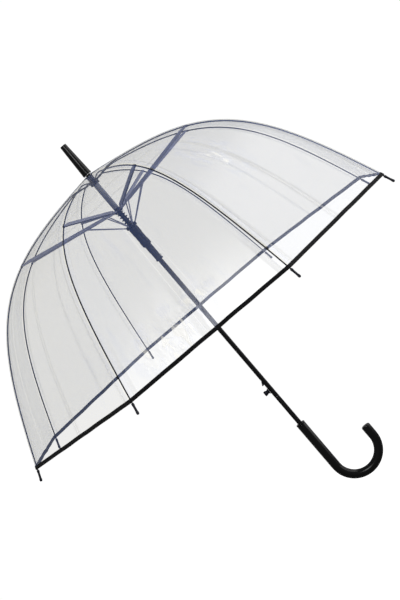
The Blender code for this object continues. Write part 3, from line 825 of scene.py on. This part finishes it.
def tapeMesh(rib, asideList):
    # A tape folded over the film's edge. The UV map holds metres along and across it.
    half, width, wall = tape["thickness"] / 2, tape["width"], tape["wall"]
    fold = [(-width, half * 0.85), (-width * 0.6, half), (-width * 0.2, half),
            (-half * 0.4, half * 0.7), (0.0, 0.0)]
    inside = [(-width, half - wall), (-width * 0.5, half - wall), (-wall * 2, half - wall), (-wall, 0.0)]
    loop = fold + [(back, -out) for back, out in reversed(fold[:-1])]
    loop += [(back, -out) for back, out in inside] + list(reversed(inside[:-1]))
    rings, along = [], []
    for aside in asideList:
        ring = [filmPoint(rib, dome["rimArc"] + back, aside, out)[0] for back, out in loop]
        rings.append(turnedToRib(ring, ribAngles[rib]))
        along.append(aside)
    bm = bmesh.new()
    layer = bm.loops.layers.uv.new("sheet")
    verts = [[bm.verts.new(p) for p in ring] for ring in rings]
    count = len(loop)
    for i in range(len(rings) - 1):
        for j in range(count):
            k = (j + 1) % count
            face = bm.faces.new((verts[i][j], verts[i + 1][j], verts[i + 1][k], verts[i][k]))
            face.material_index = int(len(fold) - 1 <= j < 2 * len(fold) - 2)
            for corner, (u, v) in zip(face.loops, ((i, j), (i + 1, j), (i + 1, j + 1), (i, j + 1))):
                corner[layer].uv = (along[u], v * width / 4)
    bm.faces.new(verts[0])
    bm.faces.new(verts[-1])
    mesh = asMesh(bm)
    mesh.materials.append(finishes["black_binding"])
    mesh.materials.append(tapeLining)
    return mesh


def stitchRow(rib, asideList, outward):
    path = [filmPoint(rib, dome["rimArc"] - tape["stitchInset"], aside, outward)[0] for aside in asideList]
    return grown("stitches", turnedToRib(path, ribAngles[rib]), {
        "Pitch": tape["pitch"], "Length": tape["stitchLength"], "Thickness": tape["stitchThickness"],
        "Finish": thread})


def makeHem():
    edge = toMiddle * onDome(dome["rimArc"])[0]
    seam = canopy["seamHalf"]
    spans = {"seam": (-seam, seam, 6), "left": (seam, edge, tape["columns"] * 2),
             "right": (-edge, -seam, tape["columns"] * 2)}
    for rib in range(ribCount):
        label = str(rib + 1)
        body = "lower_rib_" + label
        across = Vector((-math.sin(ribAngles[rib]), math.cos(ribAngles[rib]), 0))
        for word, (low, high, columns) in spans.items():
            asides = spacedAsides(low, high, columns)
            shell = tapeMesh(rib, asides)
            face = tape["thickness"] / 2
            inner = spacedAsides(low + 0.001, high - 0.001, columns)
            mesh = joined([shell, stitchRow(rib, inner, face), stitchRow(rib, inner, -face)])
            thing = addPiece("hem_" + word + "_" + label, mesh, smoothAngle=50)
            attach(thing, body)
            if word != "seam":
                side = 1 if word == "left" else -1
                across * side * seam
                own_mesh(thing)
            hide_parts("hem_binding")
            length = round((high - low) / math.cos(halfPanel), 4)


# Ribs, and what hangs on them.
ribs = {"radius": 0.0012, "sides": 12, "joinArc": 0.055, "rise": 16, "startShare": 0.18}


def ribLine():
    # The rib from the notch up to the film and down to its tip, in its own plane.
    radius, height, slope = onDome(ribs["joinArc"], -dome["ribBelow"])
    pin, end = Vector((notchRadius, 0, notchHeight)), Vector((radius, 0, height))
    reach = (end - pin).length / 3
    lift = math.radians(ribs["rise"])
    handles = (pin, pin + Vector((math.cos(lift), 0, math.sin(lift))) * reach,
               end - Vector((math.cos(slope), 0, -math.sin(slope))) * reach, end)
    points = []
    for i in range(12):
        t = ribs["startShare"] + (1 - ribs["startShare"]) * i / 12
        weights = ((1 - t) ** 3, 3 * t * (1 - t) ** 2, 3 * t * t * (1 - t), t ** 3)
        points.append(sum((h * w for w, h in zip(weights, handles)), Vector()))
    for arc in arcsBetween(ribs["joinArc"], dome["rimArc"] + 0.004):
        radius, height, _ = onDome(min(arc, dome["rimArc"] + 0.002), -dome["ribBelow"])
        points.append(Vector((radius, 0, height)))
    return points


def makeRibs():
    line = ribLine()
    for rib in range(ribCount):
        label = str(rib + 1)
        mesh = tube(turnedToRib(line, ribAngles[rib]), ribs["radius"], finishes["rib_steel"], ribs["sides"])
        rod = addPiece("rib_rod_" + label, mesh, smoothAngle=50)
        start, end = bendPoints(rib)
        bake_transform(rod)
        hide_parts("upper_rib_" + label, "lower_rib_" + label)


# A loop at each rib's root, threaded on the notch's wire ring, and a clip where its stretcher is pinned.
ribEnds = {"aside": -0.00085, "wire": 0.00055, "loop": 0.0013, "loopStart": 0.5, "loopSweep": 320,
           "loopSteps": 14, "overRib": 0.003, "clipRadius": 0.0020, "clipBore": 0.0013,
           "clipHalf": 0.0042, "soft": 0.0004, "tipDrop": 0.0006}
tipProfile = [(0, 0), (0.0021, 0), (0.0024, 0.0006), (0.0024, 0.0040), (0.0020, 0.0052), (0.0021, 0.0150),
              (0.0025, 0.0164), (0.0025, 0.0188), (0.0017, 0.0206), (0, 0.021)]


def makeRibEnds():
    line = ribLine()
    aside, loop = ribEnds["aside"], ribEnds["loop"]
    path = [line[0] + Vector((ribEnds["overRib"], 0, 0)), line[0] + Vector((-0.001, aside * 0.5, 0))]
    for i in range(ribEnds["loopSteps"] + 1):
        turn = ribEnds["loopStart"] + i * math.radians(ribEnds["loopSweep"]) / ribEnds["loopSteps"]
        path.append(Vector((notchRadius + loop * math.cos(turn), aside,
                            notchHeight + loop * math.sin(turn))))
    _, _, rimSlope = onDome(dome["rimArc"])
    radius, height, _ = onDome(dome["rimArc"], -dome["ribBelow"])
    tipPlace = Vector((radius + math.cos(rimSlope) * ribEnds["tipDrop"], 0,
                       height - math.sin(rimSlope) * ribEnds["tipDrop"]))
    _, _, foldSlope = onDome(foldArc)
    half, outer, bore = ribEnds["clipHalf"], ribEnds["clipRadius"], ribEnds["clipBore"]
    clipProfile = softened([(bore, -half), (outer, -half), (outer, half), (bore, half)], ribEnds["soft"])
    softTip = softened(tipProfile, ribEnds["soft"], 2)
    for rib, angle in enumerate(ribAngles):
        label = str(rib + 1)
        mesh = tube(turnedToRib(path, angle), ribEnds["wire"], finishes["rib_steel"], 8, 0.0006)
        finished(addPiece("rib_root_" + label, mesh, smoothAngle=60), "upper_rib_" + label, [], "rib_steel")
        place = turnedToRib([(foldRadius, 0, foldHeight)], angle)[0]
        mesh = placed(turnedMesh(clipProfile, 20, closed=True), place, (0, math.pi / 2 + foldSlope, angle))
        clip = addPiece("rib_clip_" + label, mesh, finishes["black_plastic"])
        finished(clip, "upper_rib_" + label, [], "black_plastic")
        place = turnedToRib([tipPlace], angle)[0]
        mesh = placed(turnedMesh(softTip, 20), place, (0, math.pi / 2 + rimSlope, angle))
        tip = addPiece("rib_tip_shape_" + label, mesh, finishes["black_plastic"])
        finished(tip, "lower_rib_" + label, ["rib_tip_" + label], "black_plastic")


# Pieces turned about an axis, as closed (radius, height) profiles round the shaft's socket.
socket = 0.0048
socketEnd = 0.6993
ferruleLow, ferruleTop = zSpan("ferrule")
collarLow, collarTop = zSpan("handle_collar")
washerLow, washerTop = zSpan("film_washer")
sleeveLow, sleeveTop = zSpan("stop_sleeve")
buttonHeight = sum(zSpan("release_button")) / 2
buttonFace = -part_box("release_button")[0].x
onSide = {"place": (0, 0, buttonHeight), "turn": (0, -math.pi / 2, 0)}
turnedPieces = {
    "ferrule": {"profile": [(socket, ferruleLow), (0.0090, ferruleLow), (0.0090, ferruleLow + 0.0030),
                            (0.00872, ferruleLow + 0.0038), (0.0062, ferruleTop), (0, ferruleTop),
                            (0, socketEnd), (socket, socketEnd)], "cut": 0.0011},
    "handle_collar": {"profile": [(socket, collarLow), (0.0091, collarLow), (0.0091, collarTop - 0.0010),
                                  (0.0080, collarTop), (socket, collarTop)], "cut": 0.0005},
    "film_washer": {"profile": [(socket, washerLow), (0.0086, washerLow), (0.0086, washerTop),
                                (socket, washerTop)], "cut": 0.0001},
    "stop_sleeve": {"profile": [(socket, sleeveLow), (0.0057, sleeveLow), (0.0057, sleeveTop),
                                (socket, sleeveTop)], "cut": 0.0003},
    "button_post": {"profile": [(0.0017, 0.0049), (0.0062, 0.0049), (0.0060, 0.0055), (0.0045, 0.0066),
                                (0.0039, 0.0078), (0.0039, 0.0112), (0.0017, 0.0112)],
                    "cut": 0.0004, **onSide},
    "release_button": {"profile": [(0, 0.00335), (0.0013, 0.00335), (0.0013, buttonFace - 0.0010),
                                   (0.0042, buttonFace - 0.0010), (0.0042, 0.0103), (0.0048, 0.0103),
                                   (0.0048, buttonFace - 0.0004), (0.0036, buttonFace),
                                   (0.0020, buttonFace - 0.0003), (0, buttonFace - 0.0004)],
                       "cut": 0.0004, **onSide},
}
# Pieces that keep the frame's own shape, with the width of their eased edges.
easedPieces = {"shaft": 0.0001, "top_notch": 0.00025, "slider_crown": 0.00025, "runner_crown": 0.00025,
               "runner_body": 0.0004, "runner_sleeve": 0.0003, "runner_rivet": 0.0002, "catch": 0.0003,
               "catch_pin": 0.0001}
easedBars = {"stretcher_": 0.00025, "link_": 0.0002}


def stands(nodeName, mesh, smoothAngle=35):
    # A finer piece in the place of one frame node, with that node's finish.
    thing = addPiece(nodeName + "_shape", mesh, finishes[slotOf(nodeName)], smoothAngle)
    return finished(thing, bodyOf(nodeName), [nodeName], slotOf(nodeName))


def makeFittings():
    for nodeName, recipe in turnedPieces.items():
        mesh = turnedMesh(softened(recipe["profile"], recipe["cut"]), 48, closed=True)
        stands(nodeName, placed(mesh, recipe.get("place", (0, 0, 0)), recipe.get("turn", (0, 0, 0))))
    for nodeName, width in easedPieces.items():
        stands(nodeName, easedCopy(nodeName, width))
    for rib in range(ribCount):
        for start, width in easedBars.items():
            stands(start + str(rib + 1), easedCopy(start + str(rib + 1), width, 1))


# The handle: a straight grip, a half turn and a short free leg.
grip = {"radius": 0.0088, "bend": 0.045, "bendHeight": -0.0525, "socketLow": 0.0057,
        "sides": 40, "bends": 40, "topEdge": 0.0008, "topSteps": 4,
        "endLength": 0.0034, "endRadius": 0.0064, "endSteps": 6}


def hookRing(centre, heading, radius):
    side = Vector((math.cos(heading), 0, math.sin(heading)))
    turns = [math.tau * i / grip["sides"] for i in range(grip["sides"])]
    return [centre + (side * math.cos(a) + Vector((0, math.sin(a), 0))) * radius for a in turns]


def makeHandle():
    top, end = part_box("handle")[1].z, nodeEnd("handle")
    radius, low = grip["radius"], grip["bendHeight"]
    rows = [((0, 0, grip["socketLow"]), 0, socket), ((0, 0, top), 0, socket)]
    for i in range(grip["topSteps"] + 1):
        turn = math.pi / 2 * i / grip["topSteps"]
        drop, shrink = (grip["topEdge"] * (1 - share) for share in (math.cos(turn), math.sin(turn)))
        rows.append(((0, 0, top - drop), 0, radius - shrink))
    for i in range(grip["bends"] + 1):
        heading = math.pi * i / grip["bends"]
        rows.append(((grip["bend"] * (1 - math.cos(heading)), 0, low - grip["bend"] * math.sin(heading)),
                     heading, radius))
    for i in range(grip["endSteps"] + 1):
        turn = math.pi / 2 * i / grip["endSteps"]
        rise = grip["endLength"] * (1 - math.sin(turn))
        shrink = (radius - grip["endRadius"]) * (1 - math.cos(turn))
        rows.append(((2 * grip["bend"], 0, end - rise), math.pi, radius - shrink))
    bm = bmesh.new()
    loops = [[bm.verts.new(p) for p in hookRing(Vector(c), heading, r)] for c, heading, r in rows]
    for ring, after in zip(loops, loops[1:]):
        for i in range(len(ring)):
            j = (i + 1) % len(ring)
            bm.faces.new((ring[i], ring[j], after[j], after[i]))
    bm.faces.new(loops[0])
    bm.faces.new(loops[-1])
    stands("handle", asMesh(bm))


def nodeEnd(nodeName):
    # The height of the free end of the hook.
    middle = (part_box(nodeName)[0].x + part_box(nodeName)[1].x) / 2
    return max(v.co.z for v in nodes[nodeName].data.vertices if v.co.x > middle)


# The opening spring, between the slider and the runner.
coil = {"radius": 0.0067, "wire": 0.0008, "turns": 5.5, "perTurn": 30, "keep": 0.24}


def makeSpring():
    low, high = (corner.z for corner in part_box("opening_spring"))
    low, high = low + coil["wire"], high - coil["wire"]
    count = round(coil["turns"] * coil["perTurn"])
    path = []
    for i in range(count + 1):
        turn = i / coil["perTurn"]
        # The end turns lie flat.
        rise = np.interp(turn, [0, 0.75, coil["turns"] - 0.75, coil["turns"]], [0, 0.05, 0.95, 1])
        angle = turn * math.tau
        path.append((coil["radius"] * math.cos(angle), coil["radius"] * math.sin(angle),
                     low + (high - low) * float(rise)))
    mesh = tube(path, coil["wire"], finishes["spring_steel"], 10, 0.0012)
    spring = finished(addPiece("opening_spring_shape", mesh, smoothAngle=60), "slider", ["opening_spring"],
                      "spring_steel")
    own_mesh(spring)


makeRibs()
makeRibEnds()
print("ribs")
makeFittings()
makeHandle()
makeSpring()
print("fittings, handle and spring")
makeCanopy()
print("canopy")
makeHem()
print("hem")
